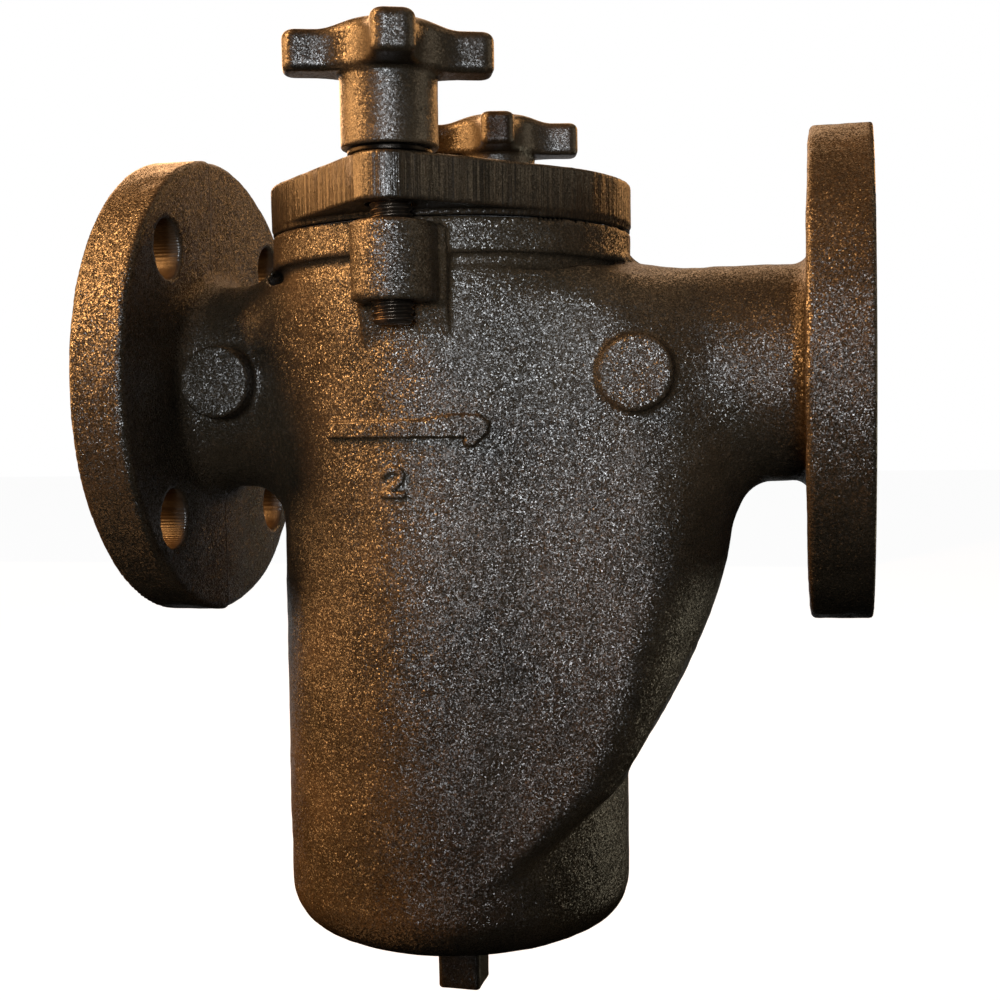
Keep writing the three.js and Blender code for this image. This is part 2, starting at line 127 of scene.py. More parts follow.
BELLY_PROFILE = np.array([
    (-20, 34.5), (46, 34.5), (57, 31), (67, 25), (76, 17), (84, 7), (90, -8), (93, -25),
    (93.6, -42), (89, -60), (80.5, -80), (73, -96), (64, -113), (56, -126), (42, -138),
    (31, -148), (18, -159), (4, -168), (-20, -168),
], float)

# ---------------- distance fields

FAR = 1e9  # larger than any squared distance here
NORMAL_REACH = 0.2
MESH_MARGIN = 1.5  # cells round the box in which a field is meshed


def round_union(a, b, r):
    """a and b joined, with a fillet of radius r between them."""
    u, v = np.maximum(r - a, 0), np.maximum(r - b, 0)
    return np.maximum(r, np.minimum(a, b)) - np.sqrt(u * u + v * v)


def round_both(a, b, r):
    """Where a and b overlap, its edge rounded by r."""
    u, v = np.maximum(r + a, 0), np.maximum(r + b, 0)
    return np.minimum(-r, np.maximum(a, b)) + np.sqrt(u * u + v * v)


def segment_square(px, py, start, end):
    """Squared distance to a straight segment."""
    ex, ey = end[0] - start[0], end[1] - start[1]
    wx, wy = px - start[0], py - start[1]
    t = np.clip((wx * ex + wy * ey) / (ex * ex + ey * ey), 0, 1)
    return (wx - ex * t) ** 2 + (wy - ey * t) ** 2


def polygon_field(px, py, points):
    """Signed distance to a closed polygon, negative inside."""
    best = np.full(np.broadcast(px, py).shape, FAR)
    inside = np.zeros(best.shape, bool)
    for start, end in zip(points, np.roll(points, -1, axis=0)):
        best = np.minimum(best, segment_square(px, py, start, end))
        run, rise = end[0] - start[0], end[1] - start[1]
        crosses = (start[1] > py) != (end[1] > py)
        side = (px - start[0]) * rise - (py - start[1]) * run
        inside ^= crosses & ((side < 0) == (rise > 0))
    return np.where(inside, -1, 1) * np.sqrt(best)


def stroke_field(px, py, points, half):
    """Signed distance to an open line of width twice `half`."""
    best = np.full(np.broadcast(px, py).shape, FAR)
    for start, end in zip(points[:-1], points[1:]):
        best = np.minimum(best, segment_square(px, py, start, end))
    return np.sqrt(best) - half


def capsule_field(px, py, ra, rb, length):
    """Signed distance to the hull of a circle ra at 0 and a circle rb at `length` along px."""
    across = np.abs(py)
    b = (ra - rb) / length
    a = math.sqrt(1 - b * b)
    k = -b * across + a * px
    near = np.hypot(px, across) - ra
    far = np.hypot(px - length, across) - rb
    side = a * across + b * px - ra
    return np.where(k < 0, near, np.where(k > a * length, far, side))


def surface_points(field, low, high, step):
    """Closed quad mesh of a field's zero surface, with one point per crossed cell."""
    low = np.array(low, float) - MESH_MARGIN * step
    high = np.array(high, float) + MESH_MARGIN * step
    count = np.ceil((high - low) / step).astype(int) + 1
    axes = [low[i] + step * np.arange(count[i]) for i in range(3)]
    x, y, z = axes[0][:, None, None], axes[1][None, :, None], axes[2][None, None, :]
    values = np.broadcast_to(field(x, y, z), count).astype(np.float32)
    solid = values < 0
    corners = [(i, j, k) for i in (0, 1) for j in (0, 1) for k in (0, 1)]
    n = [c - 1 for c in count]
    filled = sum(solid[i:i + n[0], j:j + n[1], k:k + n[2]].astype(np.int8) for i, j, k in corners)
    active = (filled > 0) & (filled < 8)
    cells = np.argwhere(active)
    index = np.full(active.shape, -1, np.int64)
    index[active] = np.arange(len(cells))
    total, hits = np.zeros((len(cells), 3)), np.zeros(len(cells))
    for a in corners:
        for axis in range(3):
            if a[axis]:
                continue
            b = list(a)
            b[axis] = 1
            va = values[tuple((cells + a).T)]
            vb = values[tuple((cells + b).T)]
            hit = (va < 0) != (vb < 0)
            t = np.where(hit, va / np.where(hit, va - vb, 1), 0)
            point = np.array(a, float)[None, :].repeat(len(cells), 0)
            point[:, axis] += t
            total += point * hit[:, None]
            hits += hit
    points = low + step * (cells + total / hits[:, None])
    quads = []
    for axis in range(3):
        u, v = (axis + 1) % 3, (axis + 2) % 3
        first = [slice(1, -1)] * 3
        second = [slice(1, -1)] * 3
        first[axis], second[axis] = slice(0, -1), slice(1, None)
        a, b = solid[tuple(first)], solid[tuple(second)]
        for flip in (False, True):
            where = np.argwhere((~a & b) if flip else (a & ~b))
            ring = []
            for du, dv in ((0, 0), (1, 0), (1, 1), (0, 1)):
                cell = where.copy()
                cell[:, u] += du
                cell[:, v] += dv
                ring.append(index[tuple(cell.T)])
            ring = np.stack(ring, 1)
            quads.append(ring[:, ::-1] if flip else ring)
    quads = np.concatenate(quads)
    return onto_surface(field, points, step), quads


def slope_of(field, p, h):
    """Gradient of a field at points p, from differences over h either way."""
    parts = []
    for axis in range(3):
        d = np.zeros(3)
        d[axis] = h
        parts.append((field(*(p + d).T) - field(*(p - d).T)) / (2 * h))
    return np.stack(parts, 1)


def normals_of(field, p):
    g = slope_of(field, p, NORMAL_REACH)
    return g / np.maximum(np.linalg.norm(g, axis=1, keepdims=True), 1e-9)


def onto_surface(field, points, step, rounds=4):
    """Moves points along the field's slope until they lie on its zero surface."""
    p = points.copy()
    for _ in range(rounds):
        g = slope_of(field, p, 0.15 * step)
        move = (field(*p.T) / np.maximum((g * g).sum(1), 0.25))[:, None] * g
        length = np.linalg.norm(move, axis=1, keepdims=True)
        p -= move * np.minimum(1, 0.6 * step / np.maximum(length, 1e-9))
    return p


# ---------------- noise

LATTICE_SIDE = 32  # a power of two, so that a bit mask wraps it
LATTICE_SEED = 11
LATTICE = np.random.default_rng(LATTICE_SEED).random((LATTICE_SIDE,) * 3) * 2 - 1
UNEVENNESS = ((0.6, 0, 17), (0.3, 40, 7.5), (0.25, 90, 3.2))  # share, offset and size in mm


def noise(p, size):
    """Smooth noise from -1 to 1 with features about `size` mm across."""
    q = p / size
    cell = np.floor(q).astype(int)
    f = q - cell
    f = f * f * (3 - 2 * f)
    total = np.zeros(len(p))
    for i in (0, 1):
        for j in (0, 1):
            for k in (0, 1):
                shares = np.abs(1 - np.array((i, j, k)) - f)
                corner = (cell + (i, j, k)) & (LATTICE_SIDE - 1)
                total += shares[:, 0] * shares[:, 1] * shares[:, 2] * LATTICE[tuple(corner.T)]
    return total


def roughen(field, p, amount, keep=None):
    """Casting unevenness: pushes points along the surface normal by slow noise."""
    g = normals_of(field, p)
    push = amount * sum(share * noise(p + offset, size) for share, offset, size in UNEVENNESS)
    if keep is not None:
        push = push * keep(p, g)
    return p + push[:, None] * g


# ---------------- meshes


def make_object(name, points, faces, material):
    """Object from points in millimetres and faces as an array of quads or a list of index lists."""
    mesh = bpy.data.meshes.new(name)
    points = np.asarray(points, float) * MM
    if isinstance(faces, np.ndarray):
        mesh.vertices.add(len(points))
        mesh.vertices.foreach_set("co", points.astype(np.float32).ravel())
        mesh.loops.add(faces.size)
        mesh.loops.foreach_set("vertex_index", faces.astype(np.int32).ravel())
        mesh.polygons.add(len(faces))
        starts = np.arange(0, faces.size, faces.shape[1], dtype=np.int32)
        mesh.polygons.foreach_set("loop_start", starts)
        mesh.update(calc_edges=True)
    else:
        mesh.from_pydata([tuple(p) for p in points], [], [list(map(int, f)) for f in faces])
        mesh.update()
    mesh.validate()
    mesh.polygons.foreach_set("use_smooth", np.full(len(mesh.polygons), True))
    mesh.materials.append(material)
    thing = bpy.data.objects.new(name, mesh)
    bpy.context.scene.collection.objects.link(thing)
    return thing


def stand_for(thing, node):
    """thing is shown in place of a CAD node and moves with the node's body."""
    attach(thing, frame["nodes"][node]["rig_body"])
    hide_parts(node)


def replace_node(node, name, points, faces, material):
    """New mesh shown in place of a CAD node."""
    stand_for(make_object(name, points, faces, material), node)


def revolve(profile, segments=144, slant=0.0):
    """Quads of a closed [radius, height] outline turned round Z; slant tips it as the seat is."""
    profile = np.asarray(profile, float)
    angle = 2 * np.pi * np.arange(segments) / segments
    r, h = profile[:, 0][None, :], profile[:, 1][None, :]
    x, y = r * np.cos(angle)[:, None], r * np.sin(angle)[:, None]
    points = np.stack([x, y, h + slant * x], -1).reshape(-1, 3)
    rows = len(profile)
    i, j = np.meshgrid(np.arange(segments), np.arange(rows), indexing="ij")
    i, j = i.ravel(), j.ravel()
    nxt = (i + 1) % segments
    up = (j + 1) % rows
    quads = np.stack([i * rows + j, nxt * rows + j, nxt * rows + up, i * rows + up], 1)
    return points, quads


def rounded_outline(corners, radius, steps=4):
    """Closed polygon with its corners rounded, each by no more than its sides leave room for."""
    corners = [np.array(c, float) for c in corners]
    out = []
    for before, here, after in zip(corners[-1:] + corners[:-1], corners, corners[1:] + corners[:1]):
        to_before, to_after = before - here, after - here
        reach = min(radius, 0.45 * np.linalg.norm(to_before), 0.45 * np.linalg.norm(to_after))
        start = here + to_before / np.linalg.norm(to_before) * reach
        end = here + to_after / np.linalg.norm(to_after) * reach
        for k in range(steps + 1):
            t = k / steps
            out.append((1 - t) ** 2 * start + 2 * t * (1 - t) * here + t * t * end)
    return np.array(out)


def rounded_ring(inner, outer, bottom, top, radius):
    """Outline of a flat ring with rounded edges, for revolve."""
    corners = [(inner, bottom), (outer, bottom), (outer, top), (inner, top)]
    return rounded_outline(corners, radius)


def shift(points, dy=0, dz=0):
    return points + np.array([0, dy, dz], float)


# ---------------- materials


# Textures are measured in metres.
SAND_GRAINS = 3100  # to the metre
TURNING_PITCH = 0.0009
WEFT_PITCH = 0.0008
WARP_WIRES = 280  # round the liner
SEAM_LINE_BOTTOM = 0.03  # the seam's offset shows above this height
PAINT_TONES = ((0.3, (0.011, 0.0085, 0.0055)), (0.55, (0.022, 0.016, 0.0095)),
               (0.78, (0.038, 0.026, 0.015)))
STEEL_TONES = ((0.35, (0.02, 0.016, 0.012)), (0.7, (0.07, 0.055, 0.042)))


def shaded(tones, shade):
    """Colour stops made darker by `shade`."""
    return [(at, tuple(shade * part for part in colour)) for at, colour in tones]


class Nodes:
    """Shorthand for building a material's node tree."""

    def __init__(self, name):
        self.material = bpy.data.materials.new(name)
        self.material.use_nodes = True
        self.tree = self.material.node_tree
        self.shader = self.tree.nodes["Principled BSDF"]
        self.place = self.tree.nodes.new("ShaderNodeTexCoord").outputs["Object"]

    def node(self, kind, values=None, **settings):
        made = self.tree.nodes.new("ShaderNode" + kind)
        for key, value in settings.items():
            setattr(made, key, value)
        for key, value in (values or {}).items():
            self.feed(made.inputs[key], value)
        return made

    def feed(self, socket, value):
        if isinstance(value, bpy.types.NodeSocket):
            self.tree.links.new(value, socket)
        else:
            socket.default_value = value

    def noise(self, scale, detail=3.0, roughness=0.55, vector=None):
        values = {"Vector": vector or self.place, "Scale": scale, "Detail": detail,
                  "Roughness": roughness}
        return self.node("TexNoise", values).outputs["Fac"]

    def stretched(self, scale):
        return self.node("Mapping", {"Vector": self.place, "Scale": scale}).outputs["Vector"]

    def math(self, operation, a, b=0.0):
        return self.node("Math", {0: a, 1: b}, operation=operation).outputs[0]

    def vector(self, operation, a, b):
        return self.node("VectorMath", {0: a, 1: b}, operation=operation).outputs["Vector"]

    def spread(self, value, low, high, to_low=0.0, to_high=1.0):
        values = {"Value": value, "From Min": low, "From Max": high, "To Min": to_low,
                  "To Max": to_high}
        return self.node("MapRange", values).outputs[0]

    def colours(self, value, *stops):
        ramp = self.node("ValToRGB", {"Fac": value})
        elements = ramp.color_ramp.elements
        while len(elements) < len(stops):
            elements.new(0.5)
        for element, (position, colour) in zip(elements, stops):
            element.position = position
            element.color = (*colour, 1.0)
        return ramp.outputs["Color"]

    def mix(self, share, a, b):
        made = self.node("Mix", data_type="RGBA")
        self.feed(made.inputs[0], share)
        self.feed(made.inputs[6], a if isinstance(a, bpy.types.NodeSocket) else (*a, 1.0))
        self.feed(made.inputs[7], b if isinstance(b, bpy.types.NodeSocket) else (*b, 1.0))
        return made.outputs[2]

    def bump(self, height, distance, strength=1.0, under=None):
        values = {"Height": height, "Distance": distance, "Strength": strength}
        if under is not None:
            values["Normal"] = under
        return self.node("Bump", values).outputs["Normal"]

    def facets(self, scale, amount, under=None, vector=None):
        """Normal tilted a different way in every grain, so single grains catch the light."""
        values = {"Vector": vector or self.place, "Scale": scale}
        cells = self.node("TexVoronoi", values).outputs["Color"]
        tilt = self.vector("MULTIPLY", self.vector("SUBTRACT", cells, (0.5, 0.5, 0.5)), amount)
        base = under or self.node("NewGeometry").outputs["Normal"]
        total = self.vector("ADD", base, tilt)
        return self.node("VectorMath", {0: total}, operation="NORMALIZE").outputs["Vector"]

    def grains(self, scale):
        """One position for every grain of the pattern that facets uses at this scale."""
        return self.node("TexVoronoi", {"Vector": self.place, "Scale": scale}).outputs["Position"]

    def finish(self, **inputs):
        for key, value in inputs.items():
            self.feed(self.shader.inputs[key.replace("_", " ")], value)
        return self.material


def cast_iron_paint(name, striations=False, parting_line=False, grain=1.0, shade=1.0):
    """Glossy black-brown paint over sand-cast iron."""
    n = Nodes(name)
    sand = n.noise(900, 1.5, 0.5)
    lumps = n.noise(210, 3.0, 0.5)
    patches = n.noise(26, 4.0, 0.6)
    base = n.colours(patches, *shaded(PAINT_TONES, shade))
    base = n.mix(n.spread(sand, 0.55, 0.75, 0.0, 0.3 * shade), base, (0.1, 0.068, 0.04))
    # Pits: small hollows, bumped in further down and painted near black, which is painted shade
    # inside them.
    cells = n.node("TexVoronoi", {"Vector": n.place, "Scale": 330.0}).outputs["Distance"]
    pits = n.spread(cells, 0.0, 0.2, 1.0, 0.0)
    pitted = n.spread(n.noise(70, 3.0, 0.6), 0.45, 0.65)
    pits = n.math("MULTIPLY", pits, pitted)
    base = n.mix(n.math("MULTIPLY", pits, 0.8), base, (0.003, 0.0022, 0.0018))
    rough = n.spread(n.noise(95, 3.0, 0.6), 0.3, 0.7, 0.3, 0.42)
    normal = n.bump(lumps, 0.0004 * grain, 0.4)
    if striations:
        grooves = n.facets(1.0, (0.26, 0.26, 0.02), normal, n.stretched((1900, 1900, 10)))
        normal = n.facets(1.0, (0.3, 0.3, 0.02), grooves, n.stretched((3800, 3800, 40)))
        lines = n.noise(1.0, 3.0, 0.7, n.stretched((1700, 1700, 25)))
        base = n.mix(n.spread(lines, 0.5, 0.7, 0.0, 0.6), base, (0.045, 0.03, 0.017))
    # The parting line: a raised seam from the bump, also painted darker along it as painted shade
    # beside the ridge.
    if parting_line:
        split = n.node("SeparateXYZ", {"Vector": n.place}).outputs
        stepped = n.math("MULTIPLY", n.math("LESS_THAN", split["X"], SEAM_STEP_X * MM),
                         n.math("GREATER_THAN", split["Z"], SEAM_LINE_BOTTOM))
        line = n.math("ADD", n.math("MULTIPLY", stepped, SEAM_STEP * MM), -SEAM_Y * MM)
        across = n.math("ADD", split["Y"], line)
        seam = n.spread(n.math("ABSOLUTE", across), 0.0003, 0.0009, 1.0, 0.0)
        normal = n.bump(seam, 0.0006, 0.8, normal)
        base = n.mix(n.math("MULTIPLY", seam, 0.5), base, (0.006, 0.004, 0.003))
    normal = n.bump(sand, 0.0003 * grain, 0.7, normal)
    normal = n.bump(n.math("MULTIPLY", pits, -1.0), 0.0003, 0.7, normal)
    normal = n.facets(SAND_GRAINS, (0.58 * grain,) * 3, normal)
    glints = n.node("TexWhiteNoise", {"Vector": n.grains(SAND_GRAINS)}).outputs["Value"]
    shine = n.spread(glints, 0.1, 0.9, 0.46 - 0.44 * grain, 0.46 + 0.54 * grain)
    return n.finish(Base_Color=base, Roughness=rough, Normal=normal, Specular_IOR_Level=shine)


def machined_iron(name):
    """Turned and drilled surfaces of the body under a thin coat of paint."""
    n = Nodes(name)
    split = n.node("SeparateXYZ", {"Vector": n.place}).outputs
    squares = n.math("ADD", n.math("MULTIPLY", split["Y"], split["Y"]),
                     n.math("MULTIPLY", split["Z"], split["Z"]))
    rings = n.math("SINE", n.math("MULTIPLY", n.math("SQRT", squares), 2 * math.pi / TURNING_PITCH))
    patches = n.noise(60, 4.0, 0.6)
    base = n.colours(patches, (0.35, (0.016, 0.011, 0.007)), (0.7, (0.045, 0.03, 0.018)))
    rough = n.spread(n.noise(240, 3.0, 0.6), 0.3, 0.7, 0.28, 0.45)
    normal = n.bump(rings, 0.00006, 0.6)
    normal = n.bump(n.noise(900, 2.0, 0.5), 0.00015, 0.5, normal)
    return n.finish(Base_Color=base, Roughness=rough, Normal=normal)


def dark_steel(name, shade=1.0):
    """Oil-blackened steel with turning marks; a shade below 1 darkens its colours, which is painted
    shadow on the washers.
    """
    n = Nodes(name)
    patches = n.noise(90, 4.0, 0.6)
    base = n.colours(patches, *shaded(STEEL_TONES, shade))
    fine = n.noise(1600, 2.0, 0.5)
    rough = n.spread(n.noise(300, 3.0, 0.6), 0.3, 0.7, 0.26, 0.45)
    normal = n.bump(fine, 0.00012, 0.6)
    return n.finish(Base_Color=base, Roughness=rough, Normal=normal, Metallic=0.85)


def stainless(name, weave=False):
    """Satin stainless sheet or wire; weave gives a fine square mesh."""
    n = Nodes(name)
    tint = n.noise(45, 4.0, 0.6)
    base = n.colours(tint, (0.3, (0.42, 0.41, 0.395)), (0.7, (0.6, 0.595, 0.58)))
    rough = n.spread(n.noise(120, 3.0, 0.6), 0.3, 0.7, 0.24, 0.42)
    rolled = n.noise(1.0, 2.0, 0.6, n.stretched((260, 260, 2600)))
    normal = n.bump(rolled, 0.00008, 0.5)
    if weave:
        split = n.node("SeparateXYZ", {"Vector": n.place}).outputs
        turn = n.math("ARCTAN2", split["Y"], split["X"])
        warp = n.math("SINE", n.math("MULTIPLY", turn, WARP_WIRES))
        weft = n.math("SINE", n.math("MULTIPLY", split["Z"], 2 * math.pi / WEFT_PITCH))
        wires = n.math("MAXIMUM", warp, weft)
        normal = n.bump(wires, 0.0002, 0.8, normal)
        # The openings between the wires are painted near black: painted shade in the gaps of the
        # weave.
        base = n.mix(n.spread(wires, -0.2, 0.5), (0.05, 0.05, 0.05), base)
    return n.finish(Base_Color=base, Roughness=rough, Normal=normal, Metallic=1.0)


def gasket_sheet(name):
    """Graphite-faced fibre sheet."""
    n = Nodes(name)
    fibres = n.noise(700, 4.0, 0.7)
    base = n.colours(fibres, (0.35, (0.02, 0.02, 0.021)), (0.7, (0.055, 0.054, 0.054)))
    rough = n.spread(n.noise(200, 2.0, 0.5), 0.3, 0.7, 0.6, 0.85)
    return n.finish(Base_Color=base, Roughness=rough, Normal=n.bump(fibres, 0.0002, 0.5))


IRON = cast_iron_paint("painted_cast_iron", parting_line=True)
IRON_MACHINED = machined_iron("machined_iron")
IRON_SMOOTH = cast_iron_paint("painted_cast_iron_smooth", grain=0.45)
# The cover uses the body's paint at 0.45 of its colour: a shaded copy, painted shade over the whole
# cover.
IRON_COVER = cast_iron_paint("painted_cast_iron_ground_edge", striations=True, grain=0.35,
                             shade=0.45)
STEEL = dark_steel("blackened_steel")
# Washer steel darkened to a quarter of its colour: painted shadow in the gap under the knob hubs.
WASHER_SHADOW_STEEL = dark_steel("blackened_washer_steel", 0.25)
SHEET = stainless("satin_stainless")
MESH = stainless("woven_stainless", weave=True)
GASKET = gasket_sheet("graphite_gasket")

# ---------------- body casting

TWO_STROKE = [(-3.0, 2.0), (-2.4, 3.3), (-0.8, 3.9), (1.0, 3.8), (2.4, 3.0), (2.8, 1.7),
              (2.0, 0.3), (0.2, -1.3), (-1.6, -2.6), (-3.1, -3.7), (3.1, -3.7)]
TWO_AT = (-4.2, -30.9)
TWO_RAISED, TWO_HALF_WIDTH = 1.6, 0.85
ARROW = np.array([(-27.0, -12.9), (5, -12.6), (14, -11.0), (21.5, -11.4), (24.4, -13.6),
                  (23.8, -16.6), (19.4, -20.6), (16.8, -19.8), (17.6, -17.6),
                  (-27.0, -17.6)], float)
ARROW_RAISED = 2.6
OUTLET_FLANGE_T = FLANGE_T + 1.2
OUTLET_NECK_Z = 0.7
MOULD_STEP = 0.45  # how far the rear half of the mould is set back
POT_CORNER_R = 15.0
DOME_R, DOME_DEPTH = 46, 3.0  # the swelling under the pot's floor
BOSS_R, BOSS_BOTTOM = 15, -186.0
UNDERCUT_AT, UNDERCUT_R = (58.0, RIM_BOTTOM - 2.2), 2.7
COVER_SEAT_R = 57.2
COVER_SEAT_LIP = 1.4  # height of the pot's edge outside the cover seat
PAD_Z = 0.5
BELLY_FOOT = (-140, -85)  # heights between which the belly's edges soften
DRAIN_R, DRAIN_TOP = 10.5, -160
BELLY_FLOOR = -148.0


def flange_field(x, axial_r, face, thickness, step):
    """One flange; face is the x of its bolting face, step the set-back of the rear half."""
    out = math.copysign(1, face) * x
    front = round_both(axial_r - FLANGE_R + step, out - abs(face), 0.9)
    return round_both(front, abs(face) - thickness - out + step, 1.8)


def neck_field(x, axial_r, face):
    """Plain round neck from the pot axis to just inside the bolting face."""
    out = math.copysign(1, face) * x
    return np.maximum(axial_r - NECK_R, np.maximum(-out, out - abs(face) + 4))


def outer_body(x, y, z):
    """The casting as if it were solid, with its raised marks."""
    rho = np.hypot(x, y)
    axial_r = np.hypot(y, z)
    seam_y = np.where((x < SEAM_STEP_X) & (z > 0), SEAM_Y - SEAM_STEP, SEAM_Y)
    step = MOULD_STEP * np.clip((y - seam_y) / 0.5 + 0.5, 0, 1)
    dome = DOME_DEPTH * np.maximum(1 - (rho / DOME_R) ** 2, 0)
    pot = round_both(rho - POT_R + step, POT_BOTTOM - dome - z, POT_CORNER_R)
    boss = round_both(rho - BOSS_R, BOSS_BOTTOM - z, 1.3)
    pot = round_union(pot, boss, 6.0)
    plan = capsule_field(x, y, *BELLY_PLAN)
    side = polygon_field(x, z, BELLY_PROFILE)
    belly = round_both(plan, side - 1.5, np.interp(z, BELLY_FOOT, [6.0, 17.0]))
    body = round_union(pot, belly, np.interp(z, BELLY_FOOT, [2.0, 5.0]))
    body = round_union(body, neck_field(x, axial_r + step, INLET_X), 15.0)
    neck = neck_field(x, np.hypot(y, z - OUTLET_NECK_Z) + step, OUTLET_X)
    body = round_union(body, neck, np.interp(z, [-25, 10], [17.0, 13.0]))
    undercut = np.hypot(rho - UNDERCUT_AT[0], z - UNDERCUT_AT[1]) - UNDERCUT_R
    body = round_both(body, -undercut, 0.8)
    rim = round_both(rho - RIM_R, RIM_BOTTOM - z, 0.8)
    body = np.minimum(body, rim)
    below_lug = np.maximum(LUG_BOTTOM - z, 0)
    slant = (np.abs(y) - FOOT_Y + FOOT_SLOPE * below_lug) / FOOT_SLOPE_LENGTH
    foot = np.maximum(np.maximum(np.abs(x) - FOOT_HALF_WIDTH, slant), LUG_INNER_Y - np.abs(y))
    body = round_union(body, np.maximum(foot, z - LUG_TOP), 0.8)
    lug = np.hypot(x, np.maximum(np.abs(y) - STUD_Y, 0)) - LUG_R
    lug = np.maximum(lug, LUG_INNER_Y - np.abs(y))
    lug = round_both(round_both(lug, LUG_BOTTOM - z, 1.3), z - LUG_TOP - 0.8, 1.0)
    body = round_union(body, lug, 2.0)
    body = round_both(body, z - RIM_TOP - COVER_SEAT_LIP, 0.4)
    body = np.maximum(body, -np.maximum(rho - COVER_SEAT_R, RIM_TOP - z))
    body = round_union(body, flange_field(x, axial_r, INLET_X, FLANGE_T, step), 6.5)
    body = round_union(body, flange_field(x, axial_r, OUTLET_X, OUTLET_FLANGE_T, step), 5.5)
    for pad_x, face_y in PADS:
        pad = round_both(np.hypot(x - pad_x, z - PAD_Z) - PAD_R, face_y - y, 0.6)
        body = round_union(body, np.maximum(pad, y), 1.6)
    arrow = round_both(polygon_field(x, z, ARROW), body - ARROW_RAISED, 0.3)
    two = stroke_field(x - TWO_AT[0], z - TWO_AT[1], TWO_STROKE, TWO_HALF_WIDTH)
    two = round_both(two, body - TWO_RAISED, 0.3)
    raised = np.maximum(np.minimum(arrow, two), y + 30)
    return round_union(body, raised, 0.4)


def inner_space(x, y, z):
    """Everything cut out of the casting: chamber, ports, drain, bolt and screw holes."""
    rho = np.hypot(x, y)
    axial_r = np.hypot(y, z)
    chamber = round_both(rho - CHAMBER_R, CHAMBER_FLOOR - z, 6.0)
    plan = capsule_field(x, y, *BELLY_SPACE_PLAN)
    side = polygon_field(x, z, BELLY_PROFILE) + BELLY_WALL
    below_seat = (z - SEAT_SLOPE * x - SEAT_Z + SEAT_T / 2) / math.hypot(1, SEAT_SLOPE)
    belly = np.maximum(np.maximum(round_both(plan, side, 10.0), below_seat), BELLY_FLOOR - z)
    space = np.minimum(chamber, belly)
    port_in = np.maximum(axial_r - PORT_R, x - INLET_PORT_END)
    port_out = np.maximum(axial_r - PORT_R, OUTLET_PORT_START - x)
    space = np.minimum(space, np.minimum(port_in, port_out))
    space = np.minimum(space, np.maximum(rho - DRAIN_R, z - DRAIN_TOP))
    bolt = np.hypot(np.abs(y) - BOLT_AT, np.abs(z) - BOLT_AT) - BOLT_HOLE_R
    between = np.minimum(x - BOLT_HOLE_ENDS[0], BOLT_HOLE_ENDS[1] - x)
    space = np.minimum(space, np.maximum(bolt, between))
    screw = np.hypot(x, np.abs(y) - STUD_Y) - SCREW_HOLE_R
    screw = np.maximum(np.maximum(screw, SCREW_HOLE_Z[0] - z), z - SCREW_HOLE_Z[1])
    return np.minimum(space, screw)


def seat_web(x, y, z):
    """The slanted ring inside the pot that the basket's rim rests on."""
    rho = np.hypot(x, y)
    tilt = math.hypot(1, SEAT_SLOPE)
    above = (z - SEAT_SLOPE * x - SEAT_Z) / tilt
    ring = round_both(rho - SEAT_OUTER_R, SEAT_INNER_R - rho, 0.8)
    return round_both(round_both(ring, above, 0.8), -above - SEAT_T / tilt, 0.8)


def body_field(x, y, z):
    shell = round_both(outer_body(x, y, z), -inner_space(x, y, z), 0.7)
    return np.minimum(shell, seat_web(x, y, z))


def body_keep(p, g):
    """Share of the casting unevenness each point gets: none on the machined faces and bores."""
    x, y, z = p.T
    machined = (np.abs(g[:, 0]) > 0.9) & ((x < INLET_X + 1.2) | (x > OUTLET_X - 1.2))
    rho = np.hypot(x, y)
    machined |= (z > RIM_TOP - 0.8) & (rho < 57.3)
    machined |= (np.hypot(y, z) < PORT_R + 0.8) & ((x < -70) | (x > 97))
    bolt = np.hypot(np.abs(y) - BOLT_AT, np.abs(z) - BOLT_AT) < BOLT_HOLE_R + 0.6
    in_flange = (x < INLET_X + FLANGE_T + 0.4) | (x > OUTLET_X - OUTLET_FLANGE_T - 0.4)
    machined |= bolt & in_flange
    machined |= (rho > 40) & (rho < 48.5) & (z > -32)
    return np.where(machined, 0.0, 1.0)


def triples(items, name):
    """A property of three numbers of all vertices or faces, one row each."""
    values = np.zeros(len(items) * 3, np.float32)
    items.foreach_get(name, values)
    return values.reshape(-1, 3)


def make_body():
    points, quads = surface_points(body_field, BODY_LOW, BODY_HIGH, BODY_CELL)
    thing = make_object("strainer_body_casting", points, quads, IRON)
    mesh = thing.data
    bm = bmesh.new()
    bm.from_mesh(mesh)
    near = []
    for edge in bm.edges:
        x, y, z = (edge.verts[0].co + edge.verts[1].co) / 2 / MM
        if abs(x) < LABEL_HALF_WIDTH and y < LABEL_Y and LABEL_Z[0] < z < LABEL_Z[1]:
            near.append(edge)
    bmesh.ops.subdivide_edges(bm, edges=near, cuts=2, use_grid_fill=True)
    bm.to_mesh(mesh)
    bm.free()
    p = triples(mesh.vertices, "co").astype(float) / MM
    label = (np.abs(p[:, 0]) < LABEL_HALF_WIDTH + LABEL_MARGIN) & (p[:, 1] < LABEL_Y)
    label &= (p[:, 2] > LABEL_Z[0] - LABEL_MARGIN) & (p[:, 2] < LABEL_Z[1] + LABEL_MARGIN)
    p[label] = onto_surface(body_field, p[label], 0.5, 5)
    p = roughen(body_field, p, BODY_UNEVEN, body_keep)
    p = np.clip(p, BODY_LOW, BODY_HIGH)
    mesh.vertices.foreach_set("co", (p * MM).astype(np.float32).ravel())
    mesh.update()
    centres, normals = triples(mesh.polygons, "center"), triples(mesh.polygons, "normal")
    machined = body_keep(centres / MM, normals) == 0
    mesh.materials.append(IRON_MACHINED)
    mesh.polygons.foreach_set("material_index", machined.astype(np.int32))
    stand_for(thing, "strainer_body")


# ---------------- cover


COVER_PLAN = (58.9, 10.0, 72.0)  # radius of the lid, radius of an ear, distance between
EAR_BOTTOM = 49.0
COVER_FOOT_R = 58.5
SPIGOT_R = 47.2
EAR_HOLE_R = 7.2


